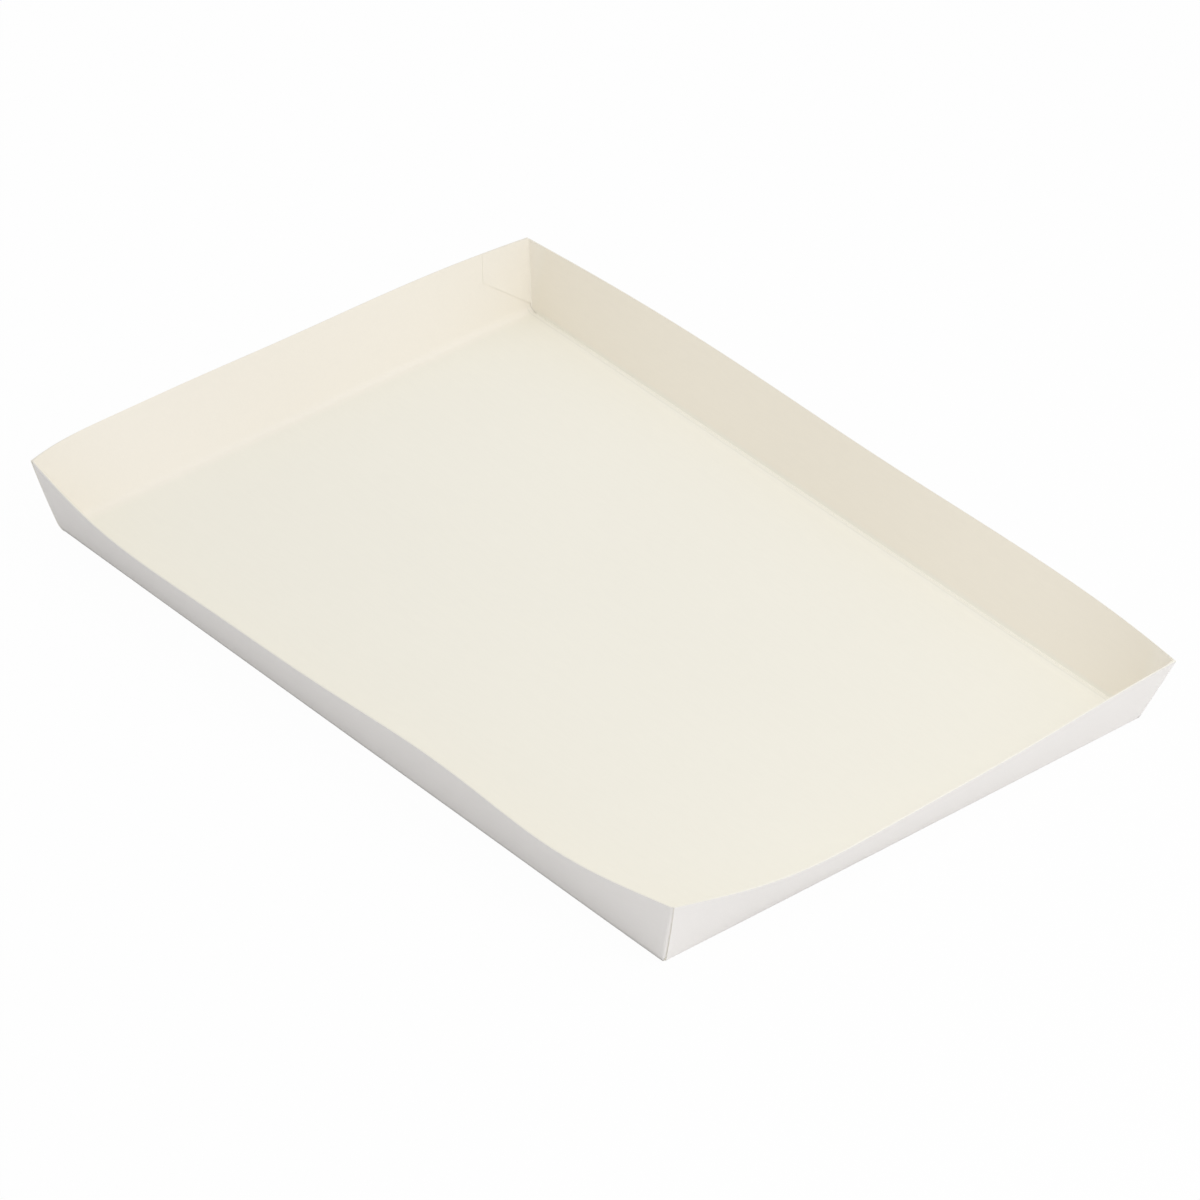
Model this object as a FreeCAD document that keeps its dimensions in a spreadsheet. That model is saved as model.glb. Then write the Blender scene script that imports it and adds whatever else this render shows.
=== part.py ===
import FreeCAD, Part
import os

import Sketcher

# A shallow serving tray folded from one sheet of board: a flat floor, four walls that lean outwards,
# and at each corner a tab of the long wall, glued inside the short wall. The walls swell outwards
# between their corners, so the rim dips there, and the rim is a little racked against the floor.
# Frame: X runs along the long side, Y along the short side, Z up. The origin is the middle of the
# floor's underside. The front wall is at -Y, the back wall at +Y, the left end at -X, the right at +X.

# Driving sizes: alias, value in millimetres or degrees, and what it is
SIZES = (
    ("base_length", 350, "floor from fold to fold along X"),
    ("base_width", 242, "floor from fold to fold along Y"),
    ("corner_rise", 30, "height of the rim at the corners"),
    ("board", 0.5, "thickness of the board"),
    ("long_corner_lean", 9, "lean of the long walls from upright at their corners"),
    ("short_corner_lean", 15.5, "lean of the short walls from upright at their corners"),
    ("long_corner_rack", 4.4, "lean that the rack adds at one corner of a long wall and takes at the other"),
    ("short_corner_rack", 3.8, "the same for a short wall"),
    ("crisp_fold", 0.3, "inside radius of the pressed folds"),
    ("soft_fold", 3.5, "inside radius of the left end's soft fold"),
    ("corner_fold", 0.3, "inside radius of the folds between long walls and tabs"),
    ("bead_width", 1.0, "width of the crease bead inside the long folds"),
    ("bead_rise", 0.25, "height of the crease bead above the floor"),
    ("tab_length", 21, "reach of a tab from the long fold"),
    ("tab_shoulder", 1.2, "width of the fold that runs on below a tab's lower edge"),
    ("tab_corner_foot", 4.2, "height of a tab's lower edge at its corner"),
    ("tab_end_foot", 18.5, "height of a tab's lower edge at its end"),
    ("tab_end_taper", 4, "slant of a tab's end edge from upright"),
    ("seam_floor_recess", 1.3, "how far a short wall's cut end stands back at the floor"),
    ("seam_rim_recess", 0.2, "how far a short wall's cut end stands back at the rim"),
)

# Swell of each wall: degrees of lean added by the first, second and further half waves along it
SWELLS = {
    "front": (18.7, -0.2, 5.8, -1.4, 2.1),
    "back": (16.4, -0.4, 4.4, -1.2),
    "left": (21.3, 4.6, 6.2, 1.2),
    "right": (15.9, 6.1, 2, 1),
}

# Each wall's family, the side that it stands on, and the sign of the rack where it begins
WALLS = {
    "front": ("long", -1, 1),
    "back": ("long", 1, -1),
    "left": ("short", -1, 1),
    "right": ("short", 1, -1),
}

# Sections along each family of walls, and the share of the rim by which they run past the corners
SECTIONS = {"long": 15, "short": 11}
PAST_CORNER = 0.08
# How far the working blocks reach below the fold and above it, in widths of the wall
BLOCK_DROP = 0.25
BLOCK_RISE = 1.5
# Room between the corners of the rim and the top of the blocks, and depth of the cut along the rim
RIM_ROOM = "4 * Sizes.board"
RIM_CUT = "8 * Sizes.board"

# Turns that stand a sketch up: seen along X, and seen along Y
ALONG_X = FreeCAD.Rotation(FreeCAD.Vector(0, 1, 0), FreeCAD.Vector(0, 0, 1), FreeCAD.Vector(1, 0, 0), "ZXY")
ALONG_Y = FreeCAD.Rotation(FreeCAD.Vector(1, 0, 0), FreeCAD.Vector(0, 0, 1), FreeCAD.Vector(0, -1, 0), "ZXY")


# Sizes

def fill_sheet(doc):
    """Writes the driving sizes into a sheet, one row each."""
    sheet = doc.addObject("Spreadsheet::Sheet", "Sizes")
    rows = list(SIZES)
    for wall, swells in SWELLS.items():
        for number, degrees in enumerate(swells, start=1):
            rows.append((f"{wall}_swell_{number}", degrees, f"half wave {number} of the {wall} wall"))
    for row, (alias, value, meaning) in enumerate(rows, start=1):
        sheet.set(f"A{row}", alias)
        sheet.set(f"B{row}", str(value))
        sheet.set(f"C{row}", meaning)
        sheet.setAlias(f"B{row}", alias)
    doc.recompute()
    return sheet


def lean_of(wall, share):
    """A wall's lean from upright at a share of its rim, from 0 at its first corner to 1 at its last."""
    family, side, rack = WALLS[wall]
    terms = [f"Sizes.{family}_corner_lean"]
    terms.append(f"{rack} * Sizes.{family}_corner_rack * cos({180 * share:.4f})")
    for number in range(1, len(SWELLS[wall]) + 1):
        terms.append(f"Sizes.{wall}_swell_{number} * sin({180 * number * share:.4f})")
    return "(" + " + ".join(terms) + ")"


def width_of(family):
    """A wall's width from fold to rim, the same all along it."""
    return f"(Sizes.corner_rise / cos(Sizes.{family}_corner_lean))"


def half_floor(family):
    """How far the folds of a family of walls lie from the middle of the floor."""
    return "Sizes.base_width / 2" if family == "long" else "Sizes.base_length / 2"


def stations(family):
    """The share of the rim and the place along it of each section of a family's walls."""
    base, crossing = ("base_length", "short") if family == "long" else ("base_width", "long")
    rim = f"(Sizes.{base} + 2 * Sizes.corner_rise * tan(Sizes.{crossing}_corner_lean))"
    steps = SECTIONS[family] - 1
    shares = [-PAST_CORNER + (1 + 2 * PAST_CORNER) * step / steps for step in range(steps + 1)]
    return [(share, f"{share - 0.5:.6f} * {rim}") for share in shares]


def wall_point(wall, share, along, inward):
    """A point in a wall's section: along its outer face from the fold, and square to it inwards."""
    family, side, rack = WALLS[wall]
    lean = lean_of(wall, share)
    across = f"{half_floor(family)} + ({along}) * sin({lean}) - ({inward}) * cos({lean})"
    up = f"({along}) * cos({lean}) + ({inward}) * sin({lean})"
    return side, across, up


# Outlines

def new_sketch(doc, name, turn):
    """A sketch that stands across the tray, set below the floor so that all heights in it are positive."""
    sketch = doc.addObject("Sketcher::SketchObject", name)
    sketch.Placement = FreeCAD.Placement(FreeCAD.Vector(), turn)
    sketch.setExpression("Placement.Base.z", "-Sizes.corner_rise")
    return sketch


def pin(sketch, geometry, end, point, rough):
    """Holds one end of a line at a side, a distance across and a height above the floor."""
    side, across, up = point
    ends = (geometry, end, -1, 1) if side < 0 else (-1, 1, geometry, end)
    index = sketch.addConstraint(Sketcher.Constraint("DistanceX", *ends, abs(rough.x)))
    sketch.setExpression(f"Constraints[{index}]", across)
    pin_height(sketch, geometry, end, up, rough)


def pin_height(sketch, geometry, end, up, rough):
    index = sketch.addConstraint(Sketcher.Constraint("DistanceY", -1, 1, geometry, end, rough.y))
    sketch.setExpression(f"Constraints[{index}]", f"Sizes.corner_rise + {up}")


def outline(doc, name, turn, points):
    """A closed ring of straight lines with every corner pinned."""
    sketch = new_sketch(doc, name, turn)
    rough = [FreeCAD.Vector(20 * side, 10 + number, 0) for number, (side, across, up) in enumerate(points)]
    for first, second in zip(rough, rough[1:] + rough[:1]):
        sketch.addGeometry(Part.LineSegment(first, second))
    for number in range(len(points)):
        sketch.addConstraint(Sketcher.Constraint("Coincident", number, 2, (number + 1) % len(points), 1))
    for number, point in enumerate(points):
        pin(sketch, number, 1, point, rough[number])
    return sketch


# Solids

def wall_loft(doc, name, family, ring):
    """A solid through the same ring of wall points at every station."""
    sections = []
    for number, (share, place) in enumerate(stations(family)):
        points = [wall_point(wall, share, along, inward) for wall, along, inward in ring]
        section = outline(doc, f"{name}Section{number}", ALONG_X if family == "long" else ALONG_Y, points)
        section.setExpression("Placement.Base.x" if family == "long" else "Placement.Base.y", place)
        sections.append(section)
    solid = doc.addObject("Part::Loft", name)
    solid.Sections = sections
    solid.Solid = True
    return solid


def trough(doc, name, family, inset):
    """The block between two opposite walls, its sides set in from their outer faces."""
    first, last = [wall for wall in WALLS if WALLS[wall][0] == family]
    below = f"-{BLOCK_DROP} * {width_of(family)}"
    above = f"{BLOCK_RISE} * {width_of(family)}"
    ring = ((first, below, inset), (last, below, inset), (last, above, inset), (first, above, inset))
    return wall_loft(doc, name, family, ring)


def rim_cutter(doc, name, wall):
    """What lies above one wall's rim, its lower face square to the wall."""
    rim = width_of(WALLS[wall][0])
    above = f"{BLOCK_RISE} * {rim}"
    outer, inner = f"-{RIM_CUT}", RIM_CUT
    ring = ((wall, rim, outer), (wall, rim, inner), (wall, above, inner), (wall, above, outer))
    return wall_loft(doc, name, WALLS[wall][0], ring)


def slab(doc, name, bottom):
    """A wide slab from a height up to just over the rim."""
    box = doc.addObject("Part::Box", name)
    box.setExpression("Length", "2 * Sizes.base_length")
    box.setExpression("Width", "2 * Sizes.base_width")
    box.setExpression("Height", f"Sizes.corner_rise + {RIM_ROOM} - {bottom}")
    box.setExpression("Placement.Base.x", "-Sizes.base_length")
    box.setExpression("Placement.Base.y", "-Sizes.base_width")
    box.setExpression("Placement.Base.z", bottom)
    return box


def run_along(doc, name, section, sense, start, length):
    """Runs a sketch seen along X from one place for a length."""
    section.setExpression("Placement.Base.x", start)
    prism = doc.addObject("Part::Extrusion", name)
    prism.Base = section
    prism.DirMode = "Custom"
    prism.Dir = FreeCAD.Vector(sense, 0, 0)
    prism.Solid = True
    prism.setExpression("LengthFwd", length)
    return prism


def end_prism(doc, name, end, points):
    """An outline seen along X, run from inside the tray past its left or right end."""
    section = outline(doc, f"{name}Outline", ALONG_X, points)
    return run_along(doc, name, section, end, f"{end} * Sizes.base_length / 4", "Sizes.base_length / 2")


def common(doc, name, shapes):
    result = doc.addObject("Part::MultiCommon", name)
    result.Shapes = shapes
    return result


def fuse(doc, name, shapes):
    result = doc.addObject("Part::MultiFuse", name)
    result.Shapes = shapes
    result.Refine = True
    return result


def cut(doc, name, base, tool):
    result = doc.addObject("Part::Cut", name)
    result.Base = base
    result.Tool = tool
    return result


def fold_kind(sheet, edge, floor_height):
    """Which fold an edge of a block stands for: long, left, right, corner or none."""
    box = edge.BoundBox
    if box.ZMax < floor_height + sheet.board / 10:
        if box.XLength > box.YLength:
            return "long"
        if abs(box.Center.x) > sheet.base_length / 3:
            return "left" if box.Center.x < 0 else "right"
    elif box.ZLength > sheet.corner_rise / 2:
        return "corner"
    return "none"


def rounded(doc, name, block, floor_height, radii):
    """A block with its folds rounded; radii holds the radius of each kind of fold to round."""
    doc.recompute()
    sheet = doc.getObject("Sizes")
    edges = []
    for index, edge in enumerate(block.Shape.Edges, start=1):
        kind = fold_kind(sheet, edge, floor_height)
        if kind in radii:
            edges.append((index, radii[kind], radii[kind]))
    result = doc.addObject("Part::Fillet", name)
    result.Base = block
    result.Edges = edges
    return result


# Pieces of the sheet

def short_panel(doc, name, end, short_outer, whole_slab):
    """The block behind a short wall, between its cut ends, which stand back from the long walls."""
    below = f"({BLOCK_DROP} * Sizes.corner_rise)"
    above = f"({BLOCK_RISE} * Sizes.corner_rise)"
    foot = f"{half_floor('long')} - Sizes.seam_floor_recess"
    closing = "(Sizes.seam_floor_recess - Sizes.seam_rim_recess) / Sizes.corner_rise"
    ends = []
    for wall in ("front", "back"):
        side = WALLS[wall][1]
        slope = f"(tan({lean_of(wall, 0 if end < 0 else 1)}) + {closing})"
        ends.append((side, f"{foot} - {below} * {slope}", f"-{below}"))
        ends.append((side, f"{foot} + {above} * {slope}", above))
    front_low, front_high, back_low, back_high = ends
    between = end_prism(doc, f"{name}Between", end, [front_low, back_low, back_high, front_high])
    return common(doc, name, [short_outer, between, whole_slab])


def tab_window(doc, name, end, room):
    """The space between the two tabs of a short wall, down to the floor."""
    above = f"({BLOCK_RISE} * Sizes.corner_rise)"
    below = f"-{BLOCK_DROP} * Sizes.corner_rise"
    shoulder = f"{half_floor('long')} - Sizes.tab_shoulder"
    reach = f"{half_floor('long')} - Sizes.tab_length"
    top = f"{reach} + ({above} - Sizes.tab_end_foot) * tan(Sizes.tab_end_taper)"
    edge = [(shoulder, below), (shoulder, "Sizes.tab_corner_foot"), (reach, "Sizes.tab_end_foot"), (top, above)]
    back = [(1, across, up) for across, up in edge]
    front = [(-1, across, up) for across, up in reversed(edge)]
    return common(doc, name, [end_prism(doc, f"{name}Between", end, back + front), room])


def crease_bead(doc, name, side):
    """The bead that the crease raises along a long fold: a low round ridge rooted in the board."""
    near = f"{half_floor('long')} - Sizes.board - Sizes.crisp_fold"
    far = f"{near} - Sizes.bead_width"
    root, floor = "Sizes.board / 2", "Sizes.board"
    corners = [(side, far, floor), (side, far, root), (side, near, root), (side, near, floor)]
    section = new_sketch(doc, f"{name}Outline", ALONG_X)
    rough = [FreeCAD.Vector(x * side, y, 0) for x, y in ((20, 11), (20, 10), (21, 10), (21, 11))]
    for first, second in zip(rough, rough[1:]):
        section.addGeometry(Part.LineSegment(first, second))
    crown = FreeCAD.Vector(20.5 * side, 11.25, 0)
    ends = (rough[3], rough[0]) if side > 0 else (rough[0], rough[3])
    arc = section.addGeometry(Part.Arc(ends[0], crown, ends[1]))
    near_end, far_end = (1, 2) if side > 0 else (2, 1)
    section.addConstraint(Sketcher.Constraint("Coincident", 0, 2, 1, 1))
    section.addConstraint(Sketcher.Constraint("Coincident", 1, 2, 2, 1))
    section.addConstraint(Sketcher.Constraint("Coincident", 2, 2, arc, near_end))
    section.addConstraint(Sketcher.Constraint("Coincident", arc, far_end, 0, 1))
    for number in (0, 1, 2):
        pin(section, number, 1, corners[number], rough[number])
    pin(section, 2, 2, corners[3], rough[3])
    centre_up = f"{floor} + Sizes.bead_rise / 2 - Sizes.bead_width ^ 2 / 8 / Sizes.bead_rise"
    pin_height(section, arc, 3, centre_up, FreeCAD.Vector(0, 10.625, 0))
    start = "-Sizes.base_length / 2 + Sizes.soft_fold + Sizes.board"
    length = "Sizes.base_length - Sizes.soft_fold - Sizes.board - Sizes.crisp_fold - Sizes.board"
    return run_along(doc, name, section, 1, start, length)


def tray(doc):
    """The folded sheet with its glued tabs, as one solid."""
    sheet = fill_sheet(doc)
    long_outer = trough(doc, "LongOuter", "long", "0")
    long_inner = trough(doc, "LongInner", "long", "Sizes.board")
    short_outer = trough(doc, "ShortOuter", "short", "0")
    short_middle = trough(doc, "ShortMiddle", "short", "Sizes.board")
    short_inner = trough(doc, "ShortInner", "short", "2 * Sizes.board")
    whole_slab = slab(doc, "WholeSlab", "0")
    room_slab = slab(doc, "RoomSlab", "Sizes.board")

    inside = {"long": sheet.crisp_fold, "left": sheet.soft_fold, "right": sheet.crisp_fold}
    inside_corners = inside | {"corner": sheet.corner_fold}
    outside_corners = {fold: radius + sheet.board for fold, radius in inside_corners.items()}
    outside_ends = {fold: outside_corners[fold] for fold in ("left", "right")}

    # Outer form: the floor and the long walls folded into their tabs, and the short walls outside them
    folded = common(doc, "Folded", [long_outer, short_middle, whole_slab])
    forms = [rounded(doc, "FoldedRound", folded, 0, outside_corners)]
    for end, label in ((-1, "Left"), (1, "Right")):
        panel = short_panel(doc, f"{label}Panel", end, short_outer, whole_slab)
        forms.append(rounded(doc, f"{label}PanelRound", panel, 0, outside_ends))
    outer = fuse(doc, "OuterForm", forms)

    # Room inside: as far as the tabs, and between them as far as the short walls
    inner = common(doc, "Inner", [long_inner, short_inner, room_slab])
    shell = cut(doc, "Shell", outer, rounded(doc, "InnerRound", inner, sheet.board, inside_corners))
    middle = common(doc, "Middle", [long_inner, short_middle, room_slab])
    room = rounded(doc, "MiddleRound", middle, sheet.board, inside)
    for end, label in ((-1, "Left"), (1, "Right")):
        shell = cut(doc, f"{label}Tabs", shell, tab_window(doc, f"{label}Window", end, room))

    for wall in WALLS:
        shell = cut(doc, f"{wall.title()}Rim", shell, rim_cutter(doc, f"{wall.title()}Cutter", wall))
    beads = [crease_bead(doc, "FrontBead", -1), crease_bead(doc, "BackBead", 1)]
    whole = fuse(doc, "Tray", [shell] + beads)
    whole.Label = "tray"
    return whole


def check(doc, parts):
    """Stops the build if an object failed or a finished piece isn't one valid solid."""
    for item in doc.Objects:
        if "Invalid" in item.State or "Error" in item.State:
            raise RuntimeError(f"{item.Name} is {item.State}")
    for part in parts:
        if part.Shape.isNull() or not part.Shape.isValid() or len(part.Shape.Solids) != 1:
            raise RuntimeError(f"{part.Label} isn't one valid solid")


def main():
    doc = FreeCAD.newDocument("folded_tray")
    parts = [tray(doc)]
    doc.recompute()
    check(doc, parts)
    os.makedirs("parts", exist_ok=True)
    for part in parts:
        part.Shape.exportStep(f"parts/{part.Label}.step")
        print(part.Label, "volume", round(part.Shape.Volume), "faces", len(part.Shape.Faces))


main()
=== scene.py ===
import math

import bmesh
import bpy
from mathutils import Euler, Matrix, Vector


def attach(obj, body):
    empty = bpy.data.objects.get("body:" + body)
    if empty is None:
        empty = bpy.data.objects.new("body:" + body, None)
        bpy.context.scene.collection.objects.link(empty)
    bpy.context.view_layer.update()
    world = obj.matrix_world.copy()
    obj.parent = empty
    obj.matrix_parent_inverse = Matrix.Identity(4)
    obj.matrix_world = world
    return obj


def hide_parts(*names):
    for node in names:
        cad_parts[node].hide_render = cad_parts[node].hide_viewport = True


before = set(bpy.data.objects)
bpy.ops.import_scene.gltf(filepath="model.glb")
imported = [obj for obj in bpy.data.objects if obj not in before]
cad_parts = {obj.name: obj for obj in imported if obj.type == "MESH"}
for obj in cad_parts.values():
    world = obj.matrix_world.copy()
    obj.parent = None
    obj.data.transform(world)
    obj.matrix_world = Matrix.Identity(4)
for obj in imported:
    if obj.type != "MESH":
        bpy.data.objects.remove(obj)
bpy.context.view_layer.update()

# The folded tray, in millimetres and degrees
MM = 0.001
FLOOR_LENGTH = 350
FLOOR_WIDTH = 242
CORNER_RISE = 30        # height of the rim at the corners
BOARD = 0.5             # thickness of the sheet
CRISP_FOLD = 0.8        # outside radius of the pressed folds
SOFT_FOLD = 4.0         # outside radius of the left end's fold
CORNER_FOLD = 0.8       # outside radius of the folds between long walls and tabs
CORNER_FOLD_FOOT = 2.0  # height over which a corner fold opens to its full radius
BEAD_START = 0.8        # from the line of a long fold to the crease bead beside it
BEAD_WIDTH = 1.2
BEAD_RISE = 0.2
BEAD_FADE = 4.0         # length over which the crease bead runs out at its ends
BEAD_STEPS = 8
GLUE = 0.02             # between a tab and the short wall outside it
TAB_PRESSED = (0.5, 0.8)  # share of a tab's thickness that the press takes, at the foot and at the rim
PRESSED_WITHIN = 4      # columns from the corner fold over which it does so

# A tab: its reach from the long fold, and the height of its lower edge at both ends
TAB_LENGTH = 21
TAB_SHOULDER = 1.25
TAB_CORNER_FOOT = 4.2
TAB_END_FOOT = 18.5
TAB_END_TAPER = 12
TAB_BELOW_RIM = 0.2     # how much lower than the short wall outside it a tab ends

# How far a short wall's cut end stands back from the long wall, at the floor and at the rim
OPEN_SEAM = (1.3, 0.0)
CLOSE_SEAM = (0.0, 0.0)


class Wall:
    """One wall: how far its fold lies from the middle, which side it stands on and how it leans."""

    def __init__(self, half_floor, side, corner_lean, rack, rim_span, fold, swells):
        self.half_floor = half_floor
        self.side = side
        self.corner_lean = corner_lean
        self.rack = rack
        self.rim_span = rim_span
        self.fold = fold
        self.swells = swells
        self.width = CORNER_RISE / math.cos(math.radians(corner_lean))

    def lean(self, place):
        """Lean from upright, in radians, at a place along the wall."""
        turn = math.pi * (place / self.rim_span + 0.5)
        degrees = self.corner_lean + self.rack * math.cos(turn)
        for number, swell in enumerate(self.swells, start=1):
            degrees += swell * math.sin(number * turn)
        return math.radians(degrees)

    def reach(self, place, height, inset=0.0):
        """Distance from the middle to the outer face, or to a face set in from it, folds included."""
        lean = self.lean(place)
        radius = self.fold - inset
        if height >= self.fold - radius * math.sin(lean):
            return self.half_floor - inset / math.cos(lean) + height * math.tan(lean)
        drop = self.fold - height
        start = self.half_floor - self.fold * math.tan((math.pi / 2 - lean) / 2)
        return start + math.sqrt(max(0.0, radius ** 2 - drop ** 2))

    def rim(self, place, inset=0.0):
        """Height of the rim, cut square to the wall."""
        lean = self.lean(place)
        return self.width * math.cos(lean) + inset * math.sin(lean)


# Lean of the walls at their corners, and how far the racked rim turns it up and down there
LONG_LEAN, SHORT_LEAN = 9, 15.5
LONG_RACK, SHORT_RACK = 4.4, 3.8
LONG_SPAN = FLOOR_LENGTH + 2 * CORNER_RISE * math.tan(math.radians(SHORT_LEAN))
SHORT_SPAN = FLOOR_WIDTH + 2 * CORNER_RISE * math.tan(math.radians(LONG_LEAN))
HALF_LONG, HALF_SHORT = FLOOR_LENGTH / 2, FLOOR_WIDTH / 2

# The walls. The last numbers are the swells of the lean, in one, two and more half waves along the wall
FRONT = Wall(HALF_SHORT, -1, LONG_LEAN, LONG_RACK, LONG_SPAN, CRISP_FOLD, (18.7, -0.2, 5.8, -1.4, 2.1))
BACK = Wall(HALF_SHORT, 1, LONG_LEAN, -LONG_RACK, LONG_SPAN, CRISP_FOLD, (16.4, -0.4, 4.4, -1.2))
LEFT = Wall(HALF_LONG, -1, SHORT_LEAN, SHORT_RACK, SHORT_SPAN, SOFT_FOLD, (21.3, 4.6, 6.2, 1.2))
RIGHT = Wall(HALF_LONG, 1, SHORT_LEAN, -SHORT_RACK, SHORT_SPAN, CRISP_FOLD, (15.9, 6.1, 2, 1))

# Shares of a wall's height at which the sheet has a row, close together in the fold
ROWS = (0, 0.002, 0.006, 0.012, 0.02, 0.03, 0.045, 0.06, 0.08, 0.105,
        0.14, 0.2, 0.3, 0.42, 0.55, 0.7, 0.85, 1)
LONG_STEPS = 120
SHORT_STEPS = 84
TAB_STEPS = 24
FOLD_STEPS = 5
CORNER_ROUNDS = 6       # rounds of the search for a corner, which settles after a few
RIM_ROUNDS = 4          # and of the search for a point's height under the rim
SNUG = 0.001            # within this, two places are the same
WELD = 0.002            # within this, the edges of two panels join
SHARP_FROM = 40         # turn between two faces from which their edge is a sharp one


def blend(low, high, share):
    """The number that lies a share of the way from low to high."""
    return low + (high - low) * share


def corner(long_wall, short_wall, height):
    """Where a long wall's outer face meets the outer face of the tab folded from it, at a height."""
    across = HALF_SHORT
    for _ in range(CORNER_ROUNDS):
        along = short_wall.reach(long_wall.side * across, height, BOARD + GLUE)
        across = long_wall.reach(short_wall.side * along, height)
    return along, across


def sheet_of(bm, columns, rows, place):
    """Lays a grid, moves each of its points to where a function puts it, and gives back the columns."""
    grid = bmesh.ops.create_grid(bm, x_segments=columns, y_segments=rows, size=0.5)
    in_column = [[] for _ in range(columns + 1)]
    for vert in grid["verts"]:
        column = round((vert.co.x + 0.5) * columns)
        row = round((vert.co.y + 0.5) * rows)
        vert.co = Vector(place(column, row)) * MM
        in_column[column].append(vert)
    return in_column


def long_band(bm, wall):
    """A long wall with its two tabs, as one strip from tab end to tab end."""
    side_columns = TAB_STEPS + FOLD_STEPS
    inset = BOARD + GLUE

    def fold_line(short_wall, height):
        return corner(wall, short_wall, height)[1] - fold_radius(height)

    def tab_across(short_wall, step, height):
        """Distance across the tray of a point in one of the tab's columns."""
        shoulder = shoulder_rows(wall, short_wall)
        widening = fold_line(short_wall, height) - fold_line(short_wall, 0)
        if step <= len(shoulder):
            return shoulder[step - 1] + widening
        near = shoulder[-1] + widening if shoulder else fold_line(short_wall, height)
        far = HALF_SHORT - TAB_LENGTH
        far += (height - TAB_END_FOOT) * math.tan(math.radians(TAB_END_TAPER))
        return blend(near, far, (step - len(shoulder)) / (TAB_STEPS - len(shoulder)))

    def tab_point(short_wall, step, row):
        top = CORNER_RISE
        for _ in range(RIM_ROUNDS):
            top = short_wall.rim(wall.side * tab_across(short_wall, step, top), inset) - TAB_BELOW_RIM
        height = top * ROWS[row]
        across = tab_across(short_wall, step, height)
        along = short_wall.reach(wall.side * across, height, inset)
        return short_wall.side * along, wall.side * across, height

    def trim_tab(bm, columns):
        """Cuts a tab's outer columns off along its slanting lower edge. The last column given stays whole."""
        near, far = HALF_SHORT - TAB_SHOULDER, HALF_SHORT - TAB_LENGTH
        upward = Vector((0, wall.side * (TAB_END_FOOT - TAB_CORNER_FOOT), near - far))
        loose = {vert for column in columns[:-1] for vert in column}
        faces = {face for vert in loose for face in vert.link_faces}
        edges = {edge for face in faces for edge in face.edges}
        on_edge = Vector((0, wall.side * far, TAB_END_FOOT)) * MM
        bmesh.ops.bisect_plane(bm, geom=[*loose, *edges, *faces], plane_co=on_edge,
                               plane_no=upward.normalized(), clear_inner=True)

    def fold_point(short_wall, step, row):
        turn = math.pi / 2 * step / FOLD_STEPS
        height = CORNER_RISE * ROWS[row]
        for _ in range(RIM_ROUNDS):
            along, across = corner(wall, short_wall, height)
            long_top = wall.rim(short_wall.side * along)
            tab_top = short_wall.rim(wall.side * across, inset) - TAB_BELOW_RIM
            height = blend(tab_top, long_top, step / FOLD_STEPS) * ROWS[row]
        radius = fold_radius(height)
        back_along = radius * (1 - math.cos(turn))
        back_across = radius * (1 - math.sin(turn))
        x = short_wall.reach(wall.side * (across - back_across), height, inset) - back_along
        y = wall.reach(short_wall.side * (along - back_along), height) - back_across
        return short_wall.side * x, wall.side * y, height

    def wall_point(share, row):
        height = CORNER_RISE * ROWS[row]
        for _ in range(RIM_ROUNDS):
            low = -corner(wall, LEFT, height)[0] + fold_radius(height)
            high = corner(wall, RIGHT, height)[0] - fold_radius(height)
            along = blend(low, high, share)
            height = wall.rim(along) * ROWS[row]
        return along, wall.side * wall.reach(along, height), height

    def place(column, row):
        if column < TAB_STEPS:
            return tab_point(LEFT, TAB_STEPS - column, row)
        if column < side_columns:
            return fold_point(LEFT, column - TAB_STEPS, row)
        column -= side_columns
        if column <= LONG_STEPS:
            return wall_point(column / LONG_STEPS, row)
        column -= LONG_STEPS
        if column <= FOLD_STEPS:
            return fold_point(RIGHT, FOLD_STEPS - column, row)
        return tab_point(RIGHT, column - FOLD_STEPS, row)

    pressed = bm.verts.layers.deform.verify()
    columns = sheet_of(bm, LONG_STEPS + 2 * side_columns, len(ROWS) - 1, place)
    for tab_columns in (columns[:TAB_STEPS], columns[:-TAB_STEPS - 1:-1]):
        for step, column in enumerate(tab_columns[::-1], start=1):
            for vert in column:
                share = blend(*TAB_PRESSED, min(1, vert.co.z / MM / CORNER_RISE))
                vert[pressed][0] = share * min(1, step / PRESSED_WITHIN)
    for short_wall, tab_columns in ((LEFT, columns), (RIGHT, columns[::-1])):
        trim_tab(bm, tab_columns[:TAB_STEPS + 1 - len(shoulder_rows(wall, short_wall))])


def fold_radius(height):
    """Outside radius of a corner fold, which opens from nothing at the floor."""
    return CORNER_FOLD * min(1, height / CORNER_FOLD_FOOT)


def seam(long_wall, short_wall):
    """How far a short wall's cut end stands back, at floor and rim. One corner's seam is open."""
    return OPEN_SEAM if (long_wall, short_wall) == (FRONT, RIGHT) else CLOSE_SEAM


def panel_edge(long_wall, short_wall):
    """How far from the middle the fold of a short wall still runs along the floor."""
    return HALF_SHORT - max(seam(long_wall, short_wall)[0], BEAD_START)


def shoulder_rows(long_wall, short_wall):
    """The floor's rows that a tab is folded from. It closes the corner where the seam stands open."""
    if seam(long_wall, short_wall) == CLOSE_SEAM:
        return []
    return [row for row in floor_rows() if row > HALF_SHORT - TAB_SHOULDER - SNUG][::-1]


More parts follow.
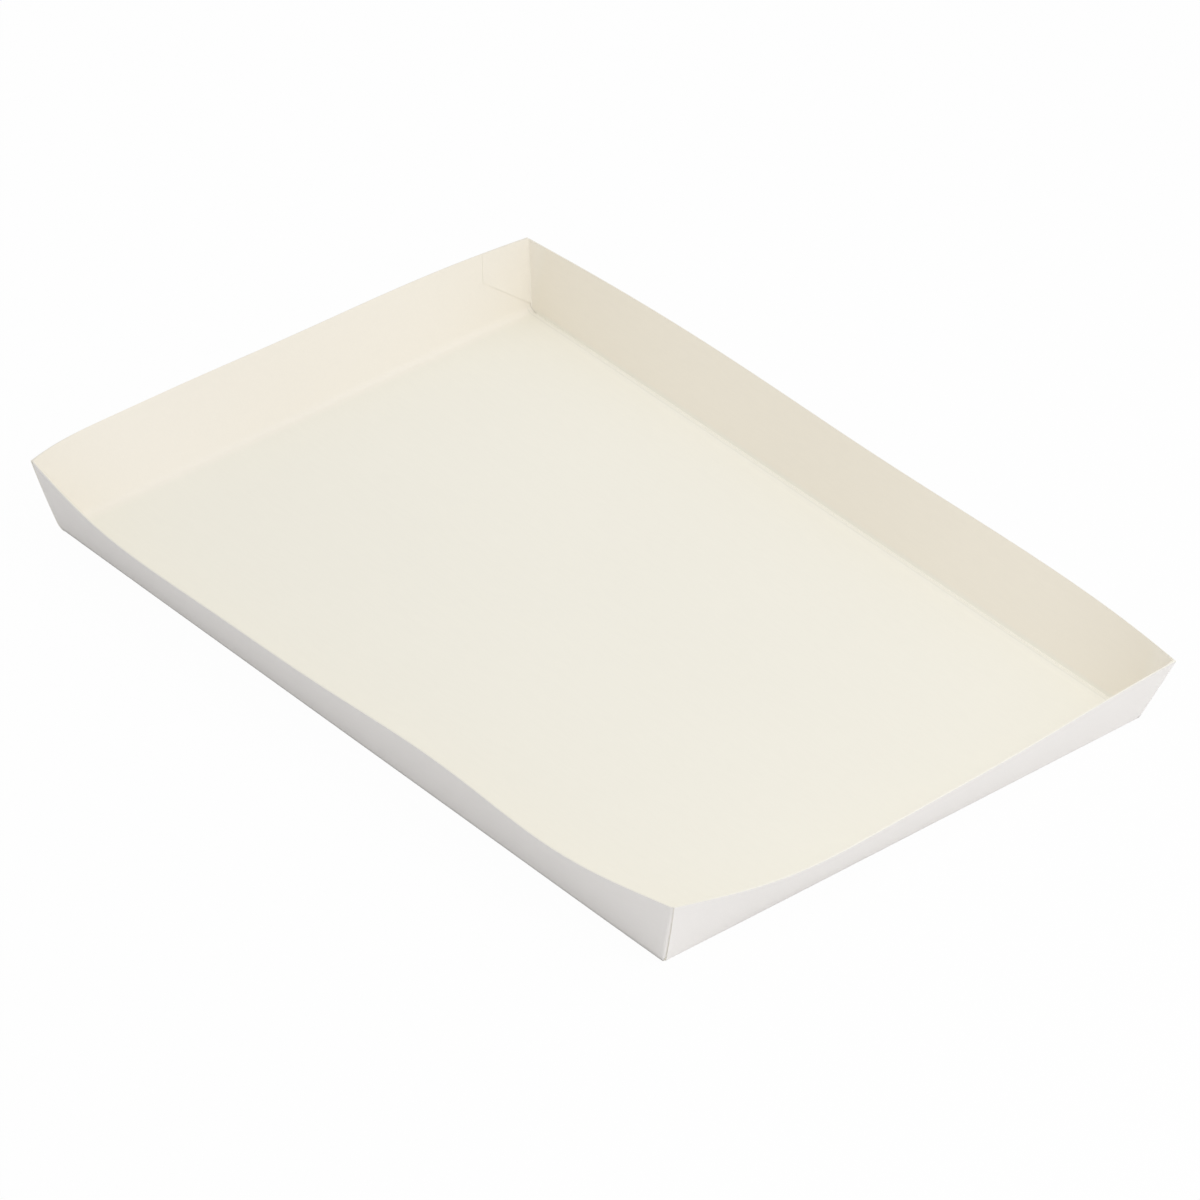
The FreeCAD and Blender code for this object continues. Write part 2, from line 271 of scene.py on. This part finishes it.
def floor_rows():
    """Places of the floor's rows across it, from the front fold to the back one, the folds left out."""
    bead = [HALF_SHORT - BEAD_START - BEAD_WIDTH * step / BEAD_STEPS for step in range(BEAD_STEPS + 1)]
    outer = sorted(bead + [HALF_SHORT - OPEN_SEAM[0]], reverse=True)
    inner = [blend(-outer[-1], outer[-1], step / SHORT_STEPS) for step in range(1, SHORT_STEPS)]
    return [-place for place in outer] + inner + outer[::-1]


def bead_height(along, across):
    """Rise of the crease along the long folds: two low ridges side by side."""
    share = (HALF_SHORT - BEAD_START - abs(across)) / BEAD_WIDTH
    if not 0 < share < 1:
        return 0
    from_end = min(along + HALF_LONG - SOFT_FOLD, HALF_LONG - CRISP_FOLD - along)
    fade = min(1, max(0, from_end / BEAD_FADE))
    return BEAD_RISE * fade * math.sin(2 * math.pi * share) ** 2


def floor_panel(bm):
    """The flat floor, between the lines where the walls' folds start."""
    rows = floor_rows()

    def place(column, row):
        share = column / LONG_STEPS
        if row in (0, len(rows) + 1):
            wall = FRONT if row == 0 else BACK
            x = blend(-corner(wall, LEFT, 0)[0], corner(wall, RIGHT, 0)[0], share)
            return x, wall.side * wall.reach(x, 0), 0
        y = rows[row - 1]
        x = blend(-LEFT.reach(y, 0), RIGHT.reach(y, 0), share)
        return x, y, 0

    sheet_of(bm, LONG_STEPS, len(rows) + 1, place)


def short_panel(bm, wall):
    """A short wall between its two cut ends."""
    ends = [long_wall.side * (HALF_SHORT - seam(long_wall, wall)[0]) for long_wall in (FRONT, BACK)]
    low, high = -panel_edge(FRONT, wall) - SNUG, panel_edge(BACK, wall) + SNUG
    folded = [place for place in floor_rows() if low < place < high]
    stations = sorted(folded + [end for end in ends if not low < end < high])

    def end(long_wall, height):
        floor_recess, rim_recess = seam(long_wall, wall)
        lean = long_wall.lean(wall.side * HALF_LONG * LONG_SPAN / FLOOR_LENGTH)
        slope = math.tan(lean) + (floor_recess - rim_recess) / CORNER_RISE
        return long_wall.side * (HALF_SHORT - floor_recess + height * slope)

    def place(column, row):
        share = (stations[column] - ends[0]) / (ends[1] - ends[0])
        height = CORNER_RISE * ROWS[row]
        for _ in range(RIM_ROUNDS):
            across = blend(end(FRONT, height), end(BACK, height), share)
            height = wall.rim(across) * ROWS[row]
        return wall.side * wall.reach(across, height), across, height

    sheet_of(bm, len(stations) - 1, len(ROWS) - 1, place)


# Finishes, with lengths in millimetres

CREAM = (0.866, 0.840, 0.750)
# The walls' colours are the floor's cream board with painted light: warmer on the long walls, warmer and
# lighter on the short ones
LONG_WALL_CREAM_PAINTED_WARM_LIGHT = (0.886, 0.836, 0.735)
SHORT_WALL_CREAM_PAINTED_LIGHT = (0.899, 0.856, 0.770)
WHITE = (0.814, 0.791, 0.770)
CORE = (0.815, 0.790, 0.715)
ROUGHNESS_OUTSIDE = 0.7
ROUGHNESS_INSIDE = 0.65
ROUGHNESS_CORE = 0.85
GLOSS = 0.25            # how much the board mirrors
PAINTED_WARMTH_FROM = 1.0         # heights between which the long walls turn warmer: painted warm light, the same cream board lit by light thrown back from the floor
PAINTED_WARMTH_BY = 3.0
PAINTED_WARMTH_END = (6.0, 1.0)   # painted light: the ends turn warmer and lighter from so far inside a short fold to so far past it
LINE_START = 1.9        # painted shade, a darker line along a crease beside the bead: from and to, as distances from the long fold
LINE_END = 2.6
LINE_SOFT = 0.25
PAINTED_CREASE_SHADE = 0.94
FOOT_RISE = 2.6         # height over which the painted shade at the outside's foot fades
PAINTED_FOOT_SHADE = 0.68
CLOUD_SCALE = 9.0
CLOUD_DARKEST = 0.985
CLOUD_RANGE = (0.7, 1.3)  # sums of clouds and fibres that show darkest and lightest
FIBRE_SCALE = 900.0
FIBRE_STRETCH = (0.15, 1, 1)
FIBRE_DETAIL = 3.0      # also of the clouds
GRAIN_SCALE = 1600.0
GRAIN_DETAIL = 2.0
GRAIN_DEPTH = 0.0001    # in metres
GRAIN_STRENGTH = 0.06


class Value:
    """A number that runs between shader nodes. Arithmetic on it adds the Math nodes."""

    def __init__(self, shader, socket):
        self.shader = shader
        self.socket = socket

    def math(self, operation, *inputs):
        return self.shader.node("ShaderNodeMath", {"operation": operation}, dict(enumerate(inputs)))

    def __add__(self, other):
        return self.math("ADD", self, other)

    def __radd__(self, other):
        return self.math("ADD", other, self)

    def __sub__(self, other):
        return self.math("SUBTRACT", self, other)

    def __rsub__(self, other):
        return self.math("SUBTRACT", other, self)

    def __mul__(self, other):
        return self.math("MULTIPLY", self, other)

    def __rmul__(self, other):
        return self.math("MULTIPLY", other, self)

    def size(self):
        return self.math("ABSOLUTE", self)

    def rise(self, low, high):
        """0 below the first number, 1 above the second, and smooth between them."""
        return self.shader.node("ShaderNodeMapRange", {"interpolation_type": "SMOOTHSTEP"},
                                {"Value": self, "From Min": low, "From Max": high})


class Shader:
    """The nodes of a material or of the world, each made by one method."""

    def __init__(self, owner):
        owner.use_nodes = True
        self.tree = owner.node_tree
        self.tree.nodes.clear()

    def node(self, kind, settings=None, inputs=None, output=0):
        made = self.tree.nodes.new(kind)
        for name, setting in (settings or {}).items():
            setattr(made, name, setting)
        for name, value in (inputs or {}).items():
            if isinstance(value, Value):
                self.tree.links.new(value.socket, made.inputs[name])
            else:
                made.inputs[name].default_value = value
        return Value(self, made.outputs[output]) if made.outputs else None

    def parts(self, place):
        """The three parts of a place: along the tray, across it and up."""
        split = self.node("ShaderNodeSeparateXYZ", None, {"Vector": place})
        return [Value(self, socket) for socket in split.socket.node.outputs]

    def colour_between(self, share, first, second):
        """A mix of two colours, each a colour or what another node gives."""
        ends = [end if isinstance(end, Value) else (*end, 1) for end in (first, second)]
        return self.node("ShaderNodeMix", {"data_type": "RGBA"},
                         {"Factor": share, "A": ends[0], "B": ends[1]}, output=2)

    def noise(self, place, scale, detail, stretch=(1, 1, 1)):
        spread = self.node("ShaderNodeMapping", None, {"Vector": place, "Scale": stretch})
        return self.node("ShaderNodeTexNoise", None, {"Vector": spread, "Scale": scale, "Detail": detail})


def shaded(colour, share):
    """A colour made darker, to a share of what it was."""
    return [channel * share for channel in colour]


def board(name, roughness, colour_at):
    """Matt board, a little cloudy, with fibres that run along the tray."""
    material = bpy.data.materials.new(name)
    shader = Shader(material)
    place = shader.node("ShaderNodeTexCoord", output="Object")
    colour = colour_at(shader, place)
    clouds = shader.noise(place, CLOUD_SCALE, FIBRE_DETAIL)
    fibres = shader.noise(place, FIBRE_SCALE, FIBRE_DETAIL, FIBRE_STRETCH)
    light = shader.node("ShaderNodeMapRange", None, {
        "Value": clouds + fibres, "From Min": CLOUD_RANGE[0], "From Max": CLOUD_RANGE[1],
        "To Min": CLOUD_DARKEST, "To Max": 1.0})
    shade = shader.node("ShaderNodeCombineColor", None, {"Red": light, "Green": light, "Blue": light})
    tint = shader.node("ShaderNodeMix", {"data_type": "RGBA", "blend_type": "MULTIPLY"},
                       {"Factor": 1.0, "A": colour, "B": shade}, output=2)
    grain = shader.noise(place, GRAIN_SCALE, GRAIN_DETAIL)
    relief = shader.node("ShaderNodeBump", None, {
        "Height": grain + fibres, "Strength": GRAIN_STRENGTH, "Distance": GRAIN_DEPTH})
    surface = shader.node("ShaderNodeBsdfPrincipled", None, {
        "Base Color": tint, "Roughness": roughness, "Specular IOR Level": GLOSS, "Normal": relief})
    shader.node("ShaderNodeOutputMaterial", None, {"Surface": surface})
    return material


def inside_colour(shader, place):
    """Cream on the floor, with painted warm light on the walls and ends, and painted shade in a thin darker
    line along the long creases.
    """
    along, across, height = shader.parts(place)
    # Painted light: the walls and the ends get a warmer, lighter cream than the floor of the same board
    on_wall = height.rise(PAINTED_WARMTH_FROM * MM, PAINTED_WARMTH_BY * MM)
    from_fold = HALF_SHORT * MM - across.size()
    # Painted shade: a thin darker band beside the crease bead, where its flank falls in shadow
    line = from_fold.rise(LINE_START * MM, (LINE_START + LINE_SOFT) * MM)
    line = line - from_fold.rise((LINE_END - LINE_SOFT) * MM, LINE_END * MM)
    at_end = along.size().rise((HALF_LONG - PAINTED_WARMTH_END[0]) * MM, (HALF_LONG + PAINTED_WARMTH_END[1]) * MM)
    surface = shader.colour_between(at_end, CREAM, SHORT_WALL_CREAM_PAINTED_LIGHT)
    surface = shader.colour_between(on_wall * (1 - at_end), surface, LONG_WALL_CREAM_PAINTED_WARM_LIGHT)
    return shader.colour_between(line * (1 - on_wall), surface, shaded(CREAM, PAINTED_CREASE_SHADE))


def outside_colour(shader, place):
    """A greyer white, with painted shade along the foot of the long walls, where the fold meets the floor."""
    _, across, height = shader.parts(place)
    on_long_wall = across.size().rise((HALF_SHORT - 2 * CRISP_FOLD) * MM, (HALF_SHORT - CRISP_FOLD) * MM)
    # Painted shade: the long walls' outside darker near the floor, standing in for the shadow under the fold
    foot = on_long_wall * (1 - height.rise(0.0, FOOT_RISE * MM))
    return shader.colour_between(foot, WHITE, shaded(WHITE, PAINTED_FOOT_SHADE))


def edge_colour(shader, place):
    """The bare core of the board, the same everywhere."""
    return (*CORE, 1)


def fold_tray():
    """Lays the floor, walls and tabs, welds them along the folds and gives the sheet its thickness."""
    bm = bmesh.new()
    floor_panel(bm)
    for wall in (FRONT, BACK):
        long_band(bm, wall)
    for wall in (LEFT, RIGHT):
        short_panel(bm, wall)
    bmesh.ops.remove_doubles(bm, verts=bm.verts, dist=WELD * MM)
    bmesh.ops.recalc_face_normals(bm, faces=bm.faces)
    lowest = min(bm.faces, key=lambda face: face.calc_center_median().length)
    if lowest.normal.z > 0:
        bmesh.ops.reverse_faces(bm, faces=bm.faces)
    mesh = bpy.data.meshes.new("folded_sheet")
    bm.to_mesh(mesh)
    bm.free()
    sheet = bpy.data.objects.new("folded_sheet", mesh)
    bpy.context.scene.collection.objects.link(sheet)
    mesh.materials.append(board("white_outside", ROUGHNESS_OUTSIDE, outside_colour))
    mesh.materials.append(board("cream_inside", ROUGHNESS_INSIDE, inside_colour))
    mesh.materials.append(board("cut_edge", ROUGHNESS_CORE, edge_colour))
    sheet.vertex_groups.new(name="pressed")
    thickness = sheet.modifiers.new("thickness", "SOLIDIFY")
    thickness.vertex_group = "pressed"
    thickness.invert_vertex_group = True
    thickness.thickness = BOARD * MM
    thickness.offset = -1
    thickness.material_offset = 1
    thickness.material_offset_rim = 2
    graph = bpy.context.evaluated_depsgraph_get()
    solid = bpy.data.meshes.new_from_object(sheet.evaluated_get(graph))
    sheet.modifiers.clear()
    sheet.data = solid
    for vert in solid.vertices:
        if abs(vert.co.z / MM - BOARD) < SNUG:
            vert.co.z += bead_height(vert.co.x / MM, vert.co.y / MM) * MM
    solid.polygons.foreach_set("use_smooth", [True] * len(solid.polygons))
    solid.set_sharp_from_angle(angle=math.radians(SHARP_FROM))
    return sheet


tray = fold_tray()
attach(tray, "root")
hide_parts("tray")


# Stage, light and camera, in metres, watts and degrees

PURE_WHITE = (1, 1, 1, 1)
STAGE_SIZE = 12
STAGE_GAP = 0.00004     # between the tray's underside and the stage floor
STAGE_GREY = 0.755      # how much of the light the stage floor throws back
STAGE_WHITE = 0.97      # share of plain white in what the camera sees of it
EVEN_LIGHT = 0.777      # strength of the light from all around
SENSOR_WIDTH = 36       # in millimetres, as the lens is
LENS = 310.598
FARTHEST_SEEN = 50
CAMERA_PLACE = (2.3454, -2.1930, 2.3190)
CAMERA_TURN = (54.2556, -2.2281, 48.4948)

# Each lamp's name, place, width, height and power
LAMPS = (
    ("key", (0.55, 0.15, 0.75), 0.5, 0.5, 2.1),
    ("fill", (-0.4, 0.0, 0.45), 0.3, 0.3, 0.163),
    ("corner_light", (-0.12, 0.16, 0.16), 0.06, 0.06, 0.012),
    ("end_light", (0.5, 0.0, 0.012), 0.6, 0.02, 0.36),
    ("front_light", (0.0, -0.5, 0.012), 0.6, 0.02, 0.085),
)


def seen_directly(shader):
    """1 for what the camera sees, also by reflection or through glass, and 0 for light on the object."""
    rays = ("Is Camera Ray", "Is Glossy Ray", "Is Transmission Ray")
    seen = [shader.node("ShaderNodeLightPath", output=ray) for ray in rays]
    return seen[0].math("MAXIMUM", seen[0], seen[1].math("MAXIMUM", seen[1], seen[2]))


def stage_floor():
    """A wide pale floor that shows white and keeps a faint shadow of the tray."""
    bm = bmesh.new()
    bmesh.ops.create_grid(bm, x_segments=1, y_segments=1, size=STAGE_SIZE)
    bmesh.ops.translate(bm, verts=bm.verts, vec=(0, 0, -STAGE_GAP))
    mesh = bpy.data.meshes.new("stage_floor")
    bm.to_mesh(mesh)
    bm.free()
    floor = bpy.data.objects.new("stage_floor", mesh)
    bpy.context.scene.collection.objects.link(floor)
    material = bpy.data.materials.new("stage_floor")
    shader = Shader(material)
    matt = shader.node("ShaderNodeBsdfDiffuse", None, {"Color": (STAGE_GREY, STAGE_GREY, STAGE_GREY, 1)})
    white = shader.node("ShaderNodeEmission", None, {"Color": PURE_WHITE, "Strength": 1.0})
    share = seen_directly(shader) * STAGE_WHITE
    mixed = shader.node("ShaderNodeMixShader", None, {0: share, 1: matt, 2: white})
    shader.node("ShaderNodeOutputMaterial", None, {"Surface": mixed})
    mesh.materials.append(material)
    return floor


def surroundings(strength):
    """White to the eye, and an even light on the object."""
    world = bpy.data.worlds.new("studio")
    bpy.context.scene.world = world
    shader = Shader(world)
    light = shader.node("ShaderNodeBackground", None, {"Color": PURE_WHITE, "Strength": strength})
    white = shader.node("ShaderNodeBackground", None, {"Color": PURE_WHITE, "Strength": 1.0})
    mixed = shader.node("ShaderNodeMixShader", None, {0: seen_directly(shader), 1: light, 2: white})
    shader.node("ShaderNodeOutputWorld", None, {"Surface": mixed})


def softbox(name, place, width, height, power):
    """An oblong lamp that faces the middle of the tray."""
    data = bpy.data.lights.new(name, "AREA")
    data.shape = "RECTANGLE"
    data.size = width
    data.size_y = height
    data.energy = power
    lamp = bpy.data.objects.new(name, data)
    lamp.location = place
    lamp.rotation_euler = (-Vector(place)).to_track_quat("-Z", "Y").to_euler()
    bpy.context.scene.collection.objects.link(lamp)


def camera():
    """The photograph's view: far off, with a long lens and a slight roll."""
    data = bpy.data.cameras.new("camera")
    data.sensor_width = SENSOR_WIDTH
    data.lens = LENS
    data.clip_end = FARTHEST_SEEN
    seen = bpy.data.objects.new("camera", data)
    seen.location = CAMERA_PLACE
    seen.rotation_euler = Euler([math.radians(turn) for turn in CAMERA_TURN])
    bpy.context.scene.collection.objects.link(seen)
    bpy.context.scene.camera = seen


stage_floor()
surroundings(EVEN_LIGHT)
for lamp in LAMPS:
    softbox(*lamp)
camera()
bpy.context.scene.view_settings.view_transform = "Standard"
